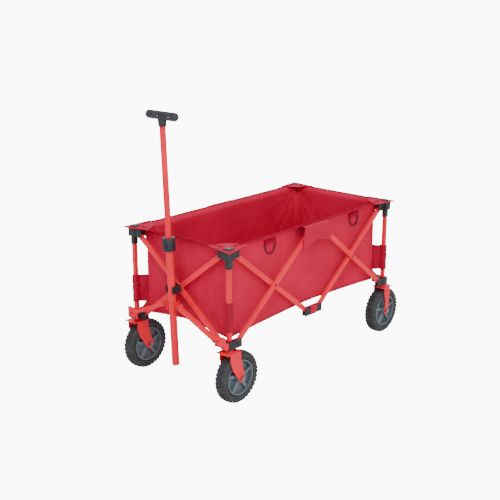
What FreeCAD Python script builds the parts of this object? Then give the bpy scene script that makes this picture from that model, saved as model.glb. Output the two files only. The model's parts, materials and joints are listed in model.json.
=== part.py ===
import FreeCAD, Part
import os
import re
import Sketcher

# A folding utility wagon: four corner posts joined by scissor bars, a sewn bag hung inside them, two
# swivelling front wheels, two fixed rear wheels and a telescopic pull handle on a pair of arms.
# Row frame: X runs from the handle end (-) to the rear (+), Y from the left side (-) to the right (+),
# Z up, with the floor at z = 0 and the origin under the middle of the frame. Millimetres.

DIMENSIONS = {
    # frame
    "frame_length": 928,  # between the post axes, front to rear
    "frame_width": 464,  # between the post axes, side to side
    "rise": 316,  # from the lower pivots to the upper pivots, wagon open
    "pivot_reach": 29,  # from a post's axis, or a side's middle, to a bar's pivot
    "wing_reach": 50,
    "joint_height": 30,
    "joint_skin": 1.6,  # from a wing's outer face to the joint's face
    "cheek": 3.2,
    "slot_gap": 0.5,
    "slot_end_gap": 4,  # from a bar's end to the bottom of its slot
    "joint_bridge": 10,  # between the two slots of a side's middle joint
    "overcut": 1,  # how far a cutting tool runs past the face it opens
    "post_size": 14,
    "post_wall": 1.2,
    "post_seat": 12,  # depth of the post in its lower joint
    "post_fit": 0.1,
    "post_head_gap": 4,  # from the post's top to the upper joint's block
    "socket_depth": 30,  # of the upper joint's sleeve over the post's top
    "socket_wall": 1.6,
    "slide_gap": 0.3,
    "inner_post_wall": 1,
    "inner_post_gap": 30,  # how much shorter the inner post is than the rise
    "inner_post_cover": 6,  # of the upper joint above the inner post
    "inner_post_seat": 30,  # depth of the inner post in the upper joint
    # bars
    "bar_height": 18,
    "bar_thickness": 9,
    "bar_wall": 1.2,
    "bar_end": 12,
    "layer_gap": 1.4,  # between the two layers of a scissor
    "pin_radius": 3,
    "cross_pin_radius": 4,
    "head_radius": 6.5,
    "head_height": 2,
    "head_gap": 0.3,  # between a pin's head and the bar or arm that it holds
    "running_fit": 0.06,
    # pull arms and yoke
    "arm_x": 41,  # from the front post axes forward to the arms
    "arm_size": 14,
    "arm_wall": 1.5,
    "arm_outer_in": 27,  # from a post's axis inward to the arm's outer pivot
    "arm_outer_lift": 22.5,  # from the lower pivots up to the arms' outer pivots
    "arm_inner_lift": 98.5,  # from the lower pivots up to the yoke
    "arm_side_gap": 15.8,  # from a stub pin's cap outward to the arm's inner pivot
    "arm_end": 5,  # of the arm beyond its inner pivot
    "bracket_plate": 3,
    "bracket_gap": 0.5,
    "bracket_height": 40,
    "bracket_width": 50,
    "bracket_outset": 12,  # of the bracket's face beyond the post's axis
    "bracket_drop": 6,
    "bracket_foot_width": 24,
    "bracket_foot_height": 22,
    "bracket_foot_lift": 2,
    "yoke_height": 32,
    "yoke_gap": 0.7,
    "yoke_wing_height": 22,
    "yoke_wing_reach": 9,  # of a wing past the arm's inner end
    "yoke_overlap": 0.1,  # of the bridge into the cheeks
    "bridge_gap": 1,  # between the handle's tube and the yoke's bridge
    "bridge_height": 8,
    "bridge_drop": 4,
    "stub_gap": 0.2,  # from the tube's bore to a stub pin's end
    "cap_height": 1,  # of the flat heads on the handle's stub pins
    # handle
    "handle_lean": 2.3,  # degrees forward of upright, clipped in
    "handle_pivot_x": 39.6,  # from the front post axes forward to the handle's pivot
    "outer_tube_radius": 13.5,
    "outer_tube_wall": 1.5,
    "foot_drop": 225,
    "outer_tube_rise": 251,
    "inner_tube_gap": 1.5,
    "inner_tube_wall": 1.2,
    "inner_tube_foot": 170,
    "inner_tube_top": 645,
    "collar_wall": 8,
    "collar_low": 203,
    "collar_height": 46,
    "tab_depth": 9,
    "tab_width": 16,
    "tab_height": 26,
    "grip_length": 117,
    "grip_radius": 14.5,
    "grip_above": 666.5,
    "stem_wall": 3.5,
    "stem_low": 632,
    "flare_radius": 17,  # of the stem's cone where it runs into the grip
    "flare_height": 24,
    "clip_height": 25,
    "clip_wall": 4,
    "clip_gap": 0.8,
    "clip_reach": 36,
    "clip_base": 7,
    "clip_stand": 0.5,  # between the clip's base and the crossing pin's head
    "clip_overlap": 1,
    "boss_radius": 2.5,
    "boss_length": 8,
    "boss_depth": 2,
    # wheels and forks
    "wheel_radius": 94,
    "tyre_width": 44,
    "shoulder": 12,  # of the tyre, in from its tread's radius and its width
    "shoulder_edge": 4,
    "bead": 4,
    "bead_inset": 3,
    "tyre_height": 30,
    "rim_wall": 5,
    "rim_overlap": 1,
    "spoke_inset": 4,  # of a spoke's edges from the rim's
    "web_thickness": 6,
    "hub_radius": 17,
    "hub_gap": 1,  # between the hub and a fork leg
    "axle_radius": 6,
    "spoke_width": 11,
    "tyre_side_gap": 2,
    "fork_plate": 3,
    "fork_front": 36,
    "fork_rear": 31,
    "leg_width": 38,
    "leg_tip": 15,
    "leg_knee": 30,  # from the fork's top down to where its legs begin to narrow
    "leg_shin": 64,
    "leg_shin_back": 12,
    "swivel_leg_front": 22,
    "trail": 36,
    "wheel_clearance": 7,  # from the tyre's top to the fork's plate
    "fork_gap": 7.5,  # from the fork's plate to the lower joint
    "king_radius": 5,
    "king_rise": 22,
    "king_entry": 6,  # of the king pin's bore below the joint's underside
    "king_end_gap": 1,
    "washer_radius": 13,
    "washer_gap": 0.3,
    "bolt_head_radius": 9,
    "bolt_head_height": 5.6,
    "bolt_gap": 0.2,  # between the fork and the axle bolt's head
    "bolt_reach": 4,  # of the axle bolt past the fork on each side
    # bag
    "bag_end_gap": 24,  # from the post axes inward to the bag's end walls
    "bag_side_gap": 27,
    "bag_lift": 26.5,  # of the bag's underside above the lower pivots
    "bag_crown": 11.5,  # of the hem above the upper pivots
    "cloth": 3,
    "floor_board": 5,
    # lashing rings
    "ring_shift": 11,  # of a ring past the middle of its scissor
    "ring_drop": 36,  # from the hem down to the ring's bend
    "ring_radius": 26,
    "ring_gap": 0.6,  # between the ring's wire and the wall
    "ring_wire": 2.2,
    "ring_leg": 14,
}
WORDS = re.compile(r"\b(" + "|".join(sorted(DIMENSIONS, key=len, reverse=True)) + r")\b")

HALF_LENGTH = "frame_length / 2"
HALF_WIDTH = "frame_width / 2"
LAYER = "(bar_thickness + layer_gap) / 2"
JOINT_WIDTH = f"(2 * ({LAYER} + bar_thickness / 2 + slot_gap + cheek + joint_skin))"
FORK_TOP = "(2 * wheel_radius + wheel_clearance + fork_plate)"
LOWER_Z = f"({FORK_TOP} + fork_gap + joint_height / 2)"
UPPER_Z = f"({LOWER_Z} + rise)"
ARM_OUTER_Z = f"({LOWER_Z} + arm_outer_lift)"
ARM_INNER_Z = f"({LOWER_Z} + arm_inner_lift)"
CHEEK_IN = "(outer_tube_radius + yoke_gap)"
ARM_INNER_Y = f"({CHEEK_IN} + bracket_plate + cap_height + arm_side_gap)"
YOKE_DEPTH = "(2 * outer_tube_radius + 2 * bridge_gap)"
COLLAR_RADIUS = "(outer_tube_radius + collar_wall)"
INNER_TUBE = "(outer_tube_radius - outer_tube_wall - inner_tube_gap)"
STEM_RADIUS = f"({INNER_TUBE} + stem_wall)"
RIM_RADIUS = "(wheel_radius - tyre_height)"
RIM_WIDTH = "(tyre_width - 2 * bead_inset)"
FORK_HALF = "(tyre_width / 2 + tyre_side_gap + fork_plate)"
HUB_WIDTH = f"(2 * {FORK_HALF} - 2 * fork_plate - 2 * hub_gap)"
BAG_LENGTH = "(frame_length - 2 * bag_end_gap)"
BAG_WIDTH = "(frame_width - 2 * bag_side_gap)"
BAG_LOW = f"({LOWER_Z} + bag_lift)"
BAG_HIGH = f"({UPPER_Z} + bag_crown)"
SLOT_BACK = "(pivot_reach - bar_end - slot_end_gap)"
SIDE_RUN = "(frame_length / 2 - 2 * pivot_reach)"
END_RUN = "(frame_width - 2 * pivot_reach)"
FRONT_X = "(-frame_length / 2)"
ARM_X = "(-frame_length / 2 - arm_x)"

doc = FreeCAD.newDocument("FoldingWagon")
sheet = doc.addObject("Spreadsheet::Sheet", "Sheet")
for row, (alias, value) in enumerate(DIMENSIONS.items(), start=1):
    sheet.set(f"A{row}", alias)
    sheet.set(f"B{row}", str(value))
    sheet.setAlias(f"B{row}", alias)
doc.recompute()
parts = {}


def bound(text):
    """An expression in the sheet's names, ready for setExpression."""
    return WORDS.sub(r"Sheet.\1", str(text))


def place(thing, at, turn=(0, 0, 0)):
    """Bind an object's place and its yaw, pitch and roll in degrees."""
    vector = "; ".join(f"({bound(v)}) * 1" for v in at)
    angles = "; ".join(f"{bound(v)}" for v in turn)
    thing.setExpression("Placement", f"placement(vector({vector}); rotation({angles}))")
    return thing


def box(name, centre, size):
    """A box about its centre."""
    thing = doc.addObject("Part::Box", name)
    for side, length in zip(("Length", "Width", "Height"), size):
        thing.setExpression(side, bound(length))
    return place(thing, [f"({c}) - ({s}) / 2" for c, s in zip(centre, size)])


def rod(name, centre, radius, length, axis):
    """A cylinder about its centre, along X, Y or Z."""
    thing = doc.addObject("Part::Cylinder", name)
    thing.setExpression("Radius", bound(radius))
    thing.setExpression("Height", bound(length))
    start = list(centre)
    index = "XYZ".index(axis)
    start[index] = f"({start[index]}) - ({length}) / 2"
    turns = {"X": (0, 90, 0), "Y": (0, 0, -90), "Z": (0, 0, 0)}
    return place(thing, start, turns[axis])


def fuse(name, shapes):
    thing = doc.addObject("Part::MultiFuse", name)
    thing.Shapes = shapes
    thing.Refine = True
    return thing


def cut(name, base, tools):
    thing = doc.addObject("Part::Cut", name)
    thing.Base = base
    thing.Tool = tools[0] if len(tools) == 1 else fuse(name + "_tools", tools)
    return thing


def origin_plane(body, role):
    return next(f for f in body.Origin.OriginFeatures if f.Role == role)


def polygon_sketch(body, role, outline):
    """A closed sketch whose corners are bound to the sheet."""
    sketch = body.newObject("Sketcher::SketchObject", body.Name + "_sketch")
    sketch.AttachmentSupport = [(origin_plane(body, role), "")]
    sketch.MapMode = "FlatFace"
    guess = [[float(evaluate(v)) for v in point] for point in outline]
    count = len(outline)
    for i in range(count):
        start = FreeCAD.Vector(*guess[i], 0)
        end = FreeCAD.Vector(*guess[(i + 1) % count], 0)
        sketch.addGeometry(Part.LineSegment(start, end))
    for i in range(count):
        sketch.addConstraint(Sketcher.Constraint("Coincident", i, 2, (i + 1) % count, 1))
    for i, point in enumerate(outline):
        for kind, value, number in zip(("DistanceX", "DistanceY"), point, guess[i]):
            index = sketch.addConstraint(Sketcher.Constraint(kind, -1, 1, i, 1, number))
            sketch.setExpression(f"Constraints[{index}]", bound(value))
    return sketch


def evaluate(text):
    """The present value of an expression in the sheet's names."""
    return sheet.evalExpression(bound(text))


def plate(name, outline, thickness, role="XZ_Plane"):
    """A flat plate padded evenly either side of one of its body's planes."""
    body = doc.addObject("PartDesign::Body", name)
    pad = body.newObject("PartDesign::Pad", name + "_pad")
    pad.Profile = polygon_sketch(body, role, outline)
    pad.setExpression("Length", bound(thickness))
    pad.Midplane = True
    return body


def turned(name, outline):
    """A solid of revolution about Y: outline points are (radius, place along Y)."""
    body = doc.addObject("PartDesign::Body", name)
    sketch = polygon_sketch(body, "XY_Plane", outline)
    spin = body.newObject("PartDesign::Revolution", name + "_turn")
    spin.Profile = sketch
    spin.ReferenceAxis = (sketch, ["V_Axis"])
    spin.Angle = 360
    return body


def part(label, thing):
    """Name a finished sub-part: the name is its file's name too."""
    thing.Label = label
    parts[label] = thing
    return thing


SPOKES = 5
# Corners: name, sign along X, sign along Y.
CORNERS = (("fl", -1, -1), ("fr", -1, 1), ("rl", 1, -1), ("rr", 1, 1))


def wing(name, along, toward, root, layer, pivot_z):
    """One arm of a plastic joint: a block with a slot for a bar's end, and the slot and pin for it.

    root is the joint's centre, along the axis the wing follows, toward its direction, and layer the
    side, +1 or -1 on the other axis, of the bar that it holds."""
    across = 1 - along
    slot = "(bar_thickness + 2 * slot_gap)"
    solid_size = [None, None, "joint_height"]
    solid_size[along] = "wing_reach"
    solid_size[across] = f"{slot} + 2 * cheek"
    solid_at = [None, None, pivot_z]
    solid_at[along] = f"{root[along]} + {toward} * wing_reach / 2"
    solid_at[across] = f"{root[across]} + {layer} * {LAYER}"
    block = box(name + "_wing", solid_at, solid_size)
    slot_run = f"(wing_reach - {SLOT_BACK} + 2 * overcut)"
    slot_size = [None, None, "joint_height + 2 * overcut"]
    slot_size[along] = slot_run
    slot_size[across] = slot
    slot_at = list(solid_at)
    slot_at[along] = f"{root[along]} + {toward} * ({SLOT_BACK} + {slot_run} / 2)"
    gap = box(name + "_slot", slot_at, slot_size)
    pin_at = list(solid_at)
    pin_at[along] = f"{root[along]} + {toward} * pivot_reach"
    pin = rod(name + "_pin", pin_at, "pin_radius", solid_size[across], "XY"[across])
    return block, gap, pin


def corner_joint(label, cx, cy, sx, sy, upper, core):
    """A corner's plastic joint: a core on the post with a wing along each of its two faces."""
    pivot_z = UPPER_Z if upper else LOWER_Z
    side_layer = -sy if upper else sy
    # On the end faces one bar runs outside from low left to high right, the other inside.
    outside = (sy == 1) if upper else (sy == -1)
    end_layer = sx if outside else -sx
    wings = [
        wing(label + "_side", 0, -sx, (cx, cy), side_layer, pivot_z),
        wing(label + "_end", 1, -sy, (cx, cy), end_layer, pivot_z),
    ]
    solids = [core] + [w[0] for w in wings]
    body = cut(label + "_slotted", fuse(label + "_blank", solids), [w[1] for w in wings])
    return fuse(label + "_pinned", [body] + [w[2] for w in wings])


def make_corner(name, sx, sy):
    """A corner: lower joint, post, inner post and upper joint."""
    cx, cy = f"{sx} * frame_length / 2", f"{sy} * frame_width / 2"
    joint_low = f"({LOWER_Z} - joint_height / 2)"
    joint_top = f"({LOWER_Z} + joint_height / 2)"
    upper_low = f"({UPPER_Z} - joint_height / 2)"
    bore = "post_size + 2 * post_fit"
    core_size = (JOINT_WIDTH, JOINT_WIDTH, "joint_height")

    core = box(f"low_core_{name}", (cx, cy, LOWER_Z), core_size)
    blank = corner_joint(f"low_{name}", cx, cy, sx, sy, False, core)
    seat_z = f"{joint_top} - post_seat / 2 + overcut"
    seat = box(f"seat_{name}", (cx, cy, seat_z), (bore, bore, "post_seat + 2 * overcut"))
    king = f"{joint_low} + king_rise / 2 - king_entry"
    king_bore = rod(f"king_bore_{name}", (cx, cy, king), "king_radius + running_fit", "king_rise", "Z")
    lower = cut(f"lower_{name}", blank, [seat, king_bore])
    part(f"lower_joint_{name}", lower)

    foot = f"({joint_top} - post_seat)"
    head = f"({upper_low} - post_head_gap)"
    length = f"({head} - {foot})"
    middle = f"({head} + {foot}) / 2"
    outer = box(f"post_out_{name}", (cx, cy, middle), ("post_size", "post_size", length))
    hollow = "post_size - 2 * post_wall"
    inner = box(f"post_in_{name}", (cx, cy, middle), (hollow, hollow, length + " + 2 * overcut"))
    part(f"post_{name}", cut(f"post_tube_{name}", outer, [inner]))

    rod_size = "(post_size - 2 * post_wall - 2 * slide_gap)"
    top = f"({UPPER_Z} + joint_height / 2 - inner_post_cover)"
    rod_length = "(rise - inner_post_gap)"
    centre = f"{top} - {rod_length} / 2"
    outer = box(f"rod_out_{name}", (cx, cy, centre), (rod_size, rod_size, rod_length))
    bore_size = f"{rod_size} - 2 * inner_post_wall"
    inner = box(f"rod_in_{name}", (cx, cy, centre), (bore_size, bore_size, f"{rod_length} + 2 * overcut"))
    part(f"inner_post_{name}", cut(f"inner_tube_{name}", outer, [inner]))

    sleeve = "post_size + 2 * slide_gap + 2 * socket_wall"
    sleeve_z = f"{upper_low} - socket_depth / 2"
    collar_size = (sleeve, sleeve, "socket_depth + 2 * overcut")
    core = fuse(f"up_core_{name}", [
        box(f"up_block_{name}", (cx, cy, UPPER_Z), core_size),
        box(f"up_sleeve_{name}", (cx, cy, f"{sleeve_z} + overcut"), collar_size),
    ])
    blank = corner_joint(f"up_{name}", cx, cy, sx, sy, True, core)
    bore = "post_size + 2 * slide_gap"
    socket_z = f"{sleeve_z} - overcut"
    socket = box(f"socket_{name}", (cx, cy, socket_z), (bore, bore, "socket_depth + 2 * overcut"))
    rod_hole = f"{rod_size} + 2 * post_fit"
    rod_z = f"{top} - inner_post_seat / 2"
    rod_seat_size = (rod_hole, rod_hole, "inner_post_seat + 2 * post_fit")
    rod_seat = box(f"rod_seat_{name}", (cx, cy, rod_z), rod_seat_size)
    upper = cut(f"upper_{name}", blank, [socket, rod_seat])
    part(f"upper_joint_{name}", upper)


for corner, sx, sy in CORNERS:
    make_corner(corner, sx, sy)


def make_middle(name, sy, upper):
    """The joint at the middle of a side, where two scissors meet."""
    cy = f"{sy} * frame_width / 2"
    pivot_z = UPPER_Z if upper else LOWER_Z
    layer = sy if upper else -sy
    wings = []
    for way, toward in (("a", 1), ("b", -1)):
        wings.append(wing(f"{name}_{way}", 0, toward, ("0", cy), layer, pivot_z))
    core_y = f"{cy} + {layer} * {LAYER}"
    core_size = ("joint_bridge", "bar_thickness + 2 * slot_gap + 2 * cheek", "joint_height")
    core = box(name + "_core", ("0", core_y, pivot_z), core_size)
    blank = fuse(name + "_blank", [core] + [w[0] for w in wings])
    slotted = cut(name + "_slotted", blank, [w[1] for w in wings])
    part(name, fuse(name + "_pinned", [slotted] + [w[2] for w in wings]))


for side, sy in (("left", -1), ("right", 1)):
    make_middle(f"top_joint_{side}", sy, True)
    make_middle(f"bottom_joint_{side}", sy, False)


def make_bar(label, low_pivot, yaw, run, pin_side, socket=False):
    """A scissor bar, built along X from its lower pivot and then turned up to its slope.

    pin_side is the local side, +1 or -1, to which an outer bar's crossing pin points; 0 is an
    inner bar, which has a hole for that pin. socket bores the pin's head for the handle clip."""
    reach = f"sqrt({run} ^ 2 + rise ^ 2)"
    length = f"({reach} + 2 * bar_end)"
    middle = f"{reach} / 2"
    outer = box(label + "_out", (middle, "0", "0"), (length, "bar_thickness", "bar_height"))
    hollow = (length + " + 2 * overcut", "bar_thickness - 2 * bar_wall", "bar_height - 2 * bar_wall")
    inner = box(label + "_in", (middle, "0", "0"), hollow)
    drill = "bar_thickness + 4 * overcut"
    holes = [rod(f"{label}_hole_{i}", (x, "0", "0"), "pin_radius + running_fit", drill, "Y")
             for i, x in enumerate(("0", reach))]
    if pin_side:
        bar = cut(label + "_tube", outer, [inner] + holes)
        span = "(2 * bar_thickness + layer_gap + 2 * head_height + 2 * head_gap)"
        centre = f"{pin_side} * ({LAYER})"
        solids = [bar, rod(label + "_pin", (middle, centre, "0"), "cross_pin_radius", span, "Y")]
        for i, way in enumerate((-1, 1)):
            head = f"{centre} + {way} * ({span} - head_height) / 2"
            solids.append(rod(f"{label}_head_{i}", (middle, head, "0"), "head_radius", "head_height", "Y"))
        bar = fuse(label + "_pinned", solids)
        if socket:
            mouth = f"{centre} - {pin_side} * {span} / 2"
            bore_radius = "boss_radius + running_fit"
            clip_bore = rod(label + "_bore", (middle, mouth, "0"), bore_radius, "2 * boss_length", "Y")
            bar = cut(label + "_bored", bar, [clip_bore])
    else:
        holes.append(rod(label + "_cross", (middle, "0", "0"), "cross_pin_radius + running_fit", drill, "Y"))
        bar = cut(label + "_tube", outer, [inner] + holes)
    place(bar, low_pivot, (yaw, f"-atan2(rise; {run})", 0))
    part(label, bar)


def make_side_bars(side, sy):
    """Four bars of a side: the outer pair rises to the middle, the inner pair falls to it."""
    outer_y = f"{sy} * ({HALF_WIDTH} + {LAYER})"
    inner_y = f"{sy} * ({HALF_WIDTH} - {LAYER})"
    front = f"-({HALF_LENGTH} - pivot_reach)"
    rear = f"{HALF_LENGTH} - pivot_reach"
    low = LOWER_Z
    make_bar(f"{side}_bar_front_outer", (front, outer_y, low), 0, SIDE_RUN, -sy)
    make_bar(f"{side}_bar_front_inner", ("-pivot_reach", inner_y, low), 180, SIDE_RUN, 0)
    make_bar(f"{side}_bar_rear_outer", (rear, outer_y, low), 180, SIDE_RUN, sy)
    make_bar(f"{side}_bar_rear_inner", ("pivot_reach", inner_y, low), 0, SIDE_RUN, 0)


def make_end_bars(end, sx):
    """Two bars of an end: the outer one starts low on the left, the inner one low on the right."""
    low_y = f"{HALF_WIDTH} - pivot_reach"
    outer_x = f"{sx} * ({HALF_LENGTH} + {LAYER})"
    inner_x = f"{sx} * ({HALF_LENGTH} - {LAYER})"
    # Turned to yaw 90 the bar's own +Y side faces -X.
    make_bar(f"{end}_bar_outer", (outer_x, f"-({low_y})", LOWER_Z), 90, END_RUN, sx, socket=sx == -1)
    make_bar(f"{end}_bar_inner", (inner_x, low_y, LOWER_Z), -90, END_RUN, 0)


for side, sy in (("left", -1), ("right", 1)):
    make_side_bars(side, sy)
for end, sx in (("front", -1), ("rear", 1)):
    make_end_bars(end, sx)


PLATE_X = f"({ARM_X} + arm_size / 2 + bracket_gap + bracket_plate / 2)"


def make_pull_arm(side, sy):
    """A pull arm with its corner bracket: the arm's outer end turns on the bracket's pin."""
    cy = f"{sy} * frame_width / 2"
    pin_y = f"{sy} * ({HALF_WIDTH} - arm_outer_in)"
    plate_y = f"{cy} - {sy} * (bracket_width / 2 - bracket_outset)"
    plate_at = (PLATE_X, plate_y, f"{ARM_OUTER_Z} - bracket_drop")
    face = box(f"bracket_face_{side}", plate_at, ("bracket_plate", "bracket_width", "bracket_height"))
    joint_face = f"({FRONT_X} - {JOINT_WIDTH} / 2)"
    back = f"({PLATE_X} + bracket_plate / 2)"
    depth = f"({joint_face} - {back})"
    # The foot stands on the lower joint's front face and stays clear of its inner wing.
    foot_at = (f"({joint_face} + {back}) / 2", cy, f"{LOWER_Z} + bracket_foot_lift")
    foot = box(f"bracket_foot_{side}", foot_at, (depth, "bracket_foot_width", "bracket_foot_height"))
    pin_span = "(bracket_plate + bracket_gap + arm_size + head_height + head_gap)"
    pin_x = f"{back} - {pin_span} / 2"
    pin = rod(f"bracket_pin_{side}", (pin_x, pin_y, ARM_OUTER_Z), "cross_pin_radius", pin_span, "X")
    head_x = f"{back} - {pin_span} + head_height / 2"
    head = rod(f"bracket_head_{side}", (head_x, pin_y, ARM_OUTER_Z), "head_radius", "head_height", "X")
    part(f"arm_bracket_{side}", fuse(f"bracket_{side}", [face, foot, pin, head]))

    run = f"({HALF_WIDTH} - arm_outer_in - {ARM_INNER_Y})"
    lift = "(arm_inner_lift - arm_outer_lift)"
    reach = f"sqrt({run} ^ 2 + {lift} ^ 2)"
    length = f"({reach} + arm_size / 2 + arm_end)"
    middle = f"({reach} + arm_end - arm_size / 2) / 2"
    outer = box(f"arm_out_{side}", (middle, "0", "0"), (length, "arm_size", "arm_size"))
    inside = "arm_size - 2 * arm_wall"
    inner = box(f"arm_in_{side}", (middle, "0", "0"), (length + " + 2 * overcut", inside, inside))
    drill = "arm_size + 4 * overcut"
    hole = rod(f"arm_hole_{side}", ("0", "0", "0"), "cross_pin_radius + running_fit", drill, "Y")
    tube = cut(f"arm_tube_{side}", outer, [inner, hole])
    # Yawed to run inward, the left arm's own +Y side faces forward and the right arm's faces back.
    forward = -sy
    stud_span = "(arm_size + head_height + head_gap)"
    stud_y = f"{forward} * (head_height - head_gap) / 2"
    stud = rod(f"arm_stud_{side}", (reach, stud_y, "0"), "cross_pin_radius", stud_span, "Y")
    rim_y = f"{forward} * (arm_size + head_height) / 2"
    rim = rod(f"arm_rim_{side}", (reach, rim_y, "0"), "head_radius", "head_height", "Y")
    arm = fuse(f"arm_{side}", [tube, stud, rim])
    place(arm, (ARM_X, pin_y, ARM_OUTER_Z), (-90 * sy, f"-atan2({lift}; {run})", 0))
    part(f"pull_arm_{side}", arm)


make_pull_arm("left", -1)
make_pull_arm("right", 1)

HANDLE_X = f"({FRONT_X} - handle_pivot_x)"


def make_yoke():
    """The steel yoke: two cheeks with stub pins for the handle, a bridge and two wings."""
    solids = []
    wing_in = f"({CHEEK_IN} + bracket_plate / 2)"
    wing_out = f"({ARM_INNER_Y} + yoke_wing_reach)"
    stub_in = "(outer_tube_radius - outer_tube_wall + stub_gap)"
    stub_out = f"({CHEEK_IN} + bracket_plate + cap_height)"
    for i, way in enumerate((-1, 1)):
        cheek_at = (HANDLE_X, f"{way} * ({CHEEK_IN} + bracket_plate / 2)", ARM_INNER_Z)
        solids.append(box(f"yoke_cheek_{i}", cheek_at, (YOKE_DEPTH, "bracket_plate", "yoke_height")))
        wing_at = (PLATE_X, f"{way} * ({wing_in} + {wing_out}) / 2", ARM_INNER_Z)
        wing_size = ("bracket_plate", f"{wing_out} - {wing_in}", "yoke_wing_height")
        solids.append(box(f"yoke_wing_{i}", wing_at, wing_size))
        stub_at = (HANDLE_X, f"{way} * ({stub_in} + {stub_out}) / 2", ARM_INNER_Z)
        stub_length = f"{stub_out} - {stub_in}"
        solids.append(rod(f"yoke_stub_{i}", stub_at, "cross_pin_radius", stub_length, "Y"))
        cap_at = (HANDLE_X, f"{way} * ({stub_out} - cap_height / 2)", ARM_INNER_Z)
        solids.append(rod(f"yoke_cap_{i}", cap_at, "head_radius", "cap_height", "Y"))
    bridge_x = f"{HANDLE_X} + {YOKE_DEPTH} / 2 + bracket_plate / 2 - yoke_overlap"
    bridge_z = f"{ARM_INNER_Z} + yoke_height / 2 - bridge_drop"
    width = f"2 * {CHEEK_IN} + 2 * bracket_plate"
    solids.append(box("yoke_bridge", (bridge_x, "0", bridge_z), ("bracket_plate", width, "bridge_height")))
    part("handle_yoke", fuse("yoke", solids))


make_yoke()
CLIP_Z = f"({LOWER_Z} + rise / 2)"


def make_clip():
    """The U-shaped clip on the front scissor's crossing: it holds the upright handle."""
    head_face = f"({FRONT_X} - {LAYER} - bar_thickness / 2 - head_height - head_gap)"
    base_x = f"{head_face} - clip_stand - clip_base / 2"
    inside = "(outer_tube_radius + clip_gap)"
    width = f"2 * {inside} + 2 * clip_wall"
    solids = [box("clip_block", (base_x, "0", CLIP_Z), ("clip_base", width, "clip_height"))]
    boss_at = (f"{head_face} + boss_depth", "0", CLIP_Z)
    solids.append(rod("clip_boss", boss_at, "boss_radius", "boss_length", "X"))
    jaw_x = f"{head_face} - clip_stand - clip_base - clip_reach / 2 + clip_overlap"
    for i, way in enumerate((-1, 1)):
        jaw_at = (jaw_x, f"{way} * ({inside} + clip_wall / 2)", CLIP_Z)
        solids.append(box(f"clip_jaw_{i}", jaw_at, ("clip_reach", "clip_wall", "clip_height")))
    part("handle_clip", fuse("clip", solids))


make_clip()


def make_handle():
    """The telescopic handle, built along Z from its pivot and then leaned forward."""
    def lean(thing):
        return place(thing, (HANDLE_X, "0", ARM_INNER_Z), (0, "-handle_lean", 0))

    def along(low, high):
        return f"(({low}) + ({high})) / 2", f"(({high}) - ({low}))"

    middle, length = along("-foot_drop", "outer_tube_rise")
    outer = rod("handle_out", ("0", "0", middle), "outer_tube_radius", length, "Z")
    hollow = "outer_tube_radius - outer_tube_wall"
    inner = rod("handle_in", ("0", "0", middle), hollow, length + " + 2 * overcut", "Z")
    drill = "2 * outer_tube_radius + 4 * overcut"
    bore = rod("handle_bore", ("0", "0", "0"), "cross_pin_radius + running_fit", drill, "Y")
    part("handle_outer_tube", lean(cut("handle_tube", outer, [inner, bore])))

    middle, length = along("inner_tube_foot", "inner_tube_top")
    outer = rod("slider_out", ("0", "0", middle), INNER_TUBE, length, "Z")
    hollow = f"{INNER_TUBE} - inner_tube_wall"
    inner = rod("slider_in", ("0", "0", middle), hollow, length + " + 2 * overcut", "Z")
    part("handle_inner_tube", lean(cut("slider_tube", outer, [inner])))

    middle, length = along("collar_low", "collar_low + collar_height")
    shell = rod("collar_shell", ("0", "0", middle), COLLAR_RADIUS, length, "Z")
    tab_at = (f"-{COLLAR_RADIUS} + overcut", "0", middle)
    tab = box("collar_tab", tab_at, ("tab_depth", "tab_width", "tab_height"))
    fit = "outer_tube_radius + post_fit"
    hollow = rod("collar_bore", ("0", "0", middle), fit, length + " + 2 * overcut", "Z")
    part("handle_collar", lean(cut("collar", fuse("collar_blank", [shell, tab]), [hollow])))

    middle, length = along("stem_low", "grip_above")
    stem = rod("grip_stem", ("0", "0", middle), STEM_RADIUS, length, "Z")
    bar = rod("grip_bar", ("0", "0", "grip_above"), "grip_radius", "grip_length", "Y")
    flare = doc.addObject("Part::Cone", "grip_flare")
    flare.setExpression("Radius1", bound(STEM_RADIUS))
    flare.setExpression("Radius2", bound("flare_radius"))
    flare.setExpression("Height", bound("flare_height"))
    place(flare, ("0", "0", "grip_above - flare_height"), (0, 0, 0))
    ends = []
    for i, way in enumerate((-1, 1)):
        ball = doc.addObject("Part::Sphere", f"grip_end_{i}")
        ball.setExpression("Radius", bound("grip_radius"))
        ends.append(place(ball, ("0", f"{way} * grip_length / 2", "grip_above")))
    middle, length = along("stem_low - 2 * overcut", "inner_tube_top")
    fit = f"{INNER_TUBE} + post_fit"
    socket = rod("grip_socket", ("0", "0", middle), fit, f"{length} + 2 * post_fit", "Z")
    part("handle_grip", lean(cut("grip", fuse("grip_blank", [stem, bar, flare] + ends), [socket])))


make_handle()


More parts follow.
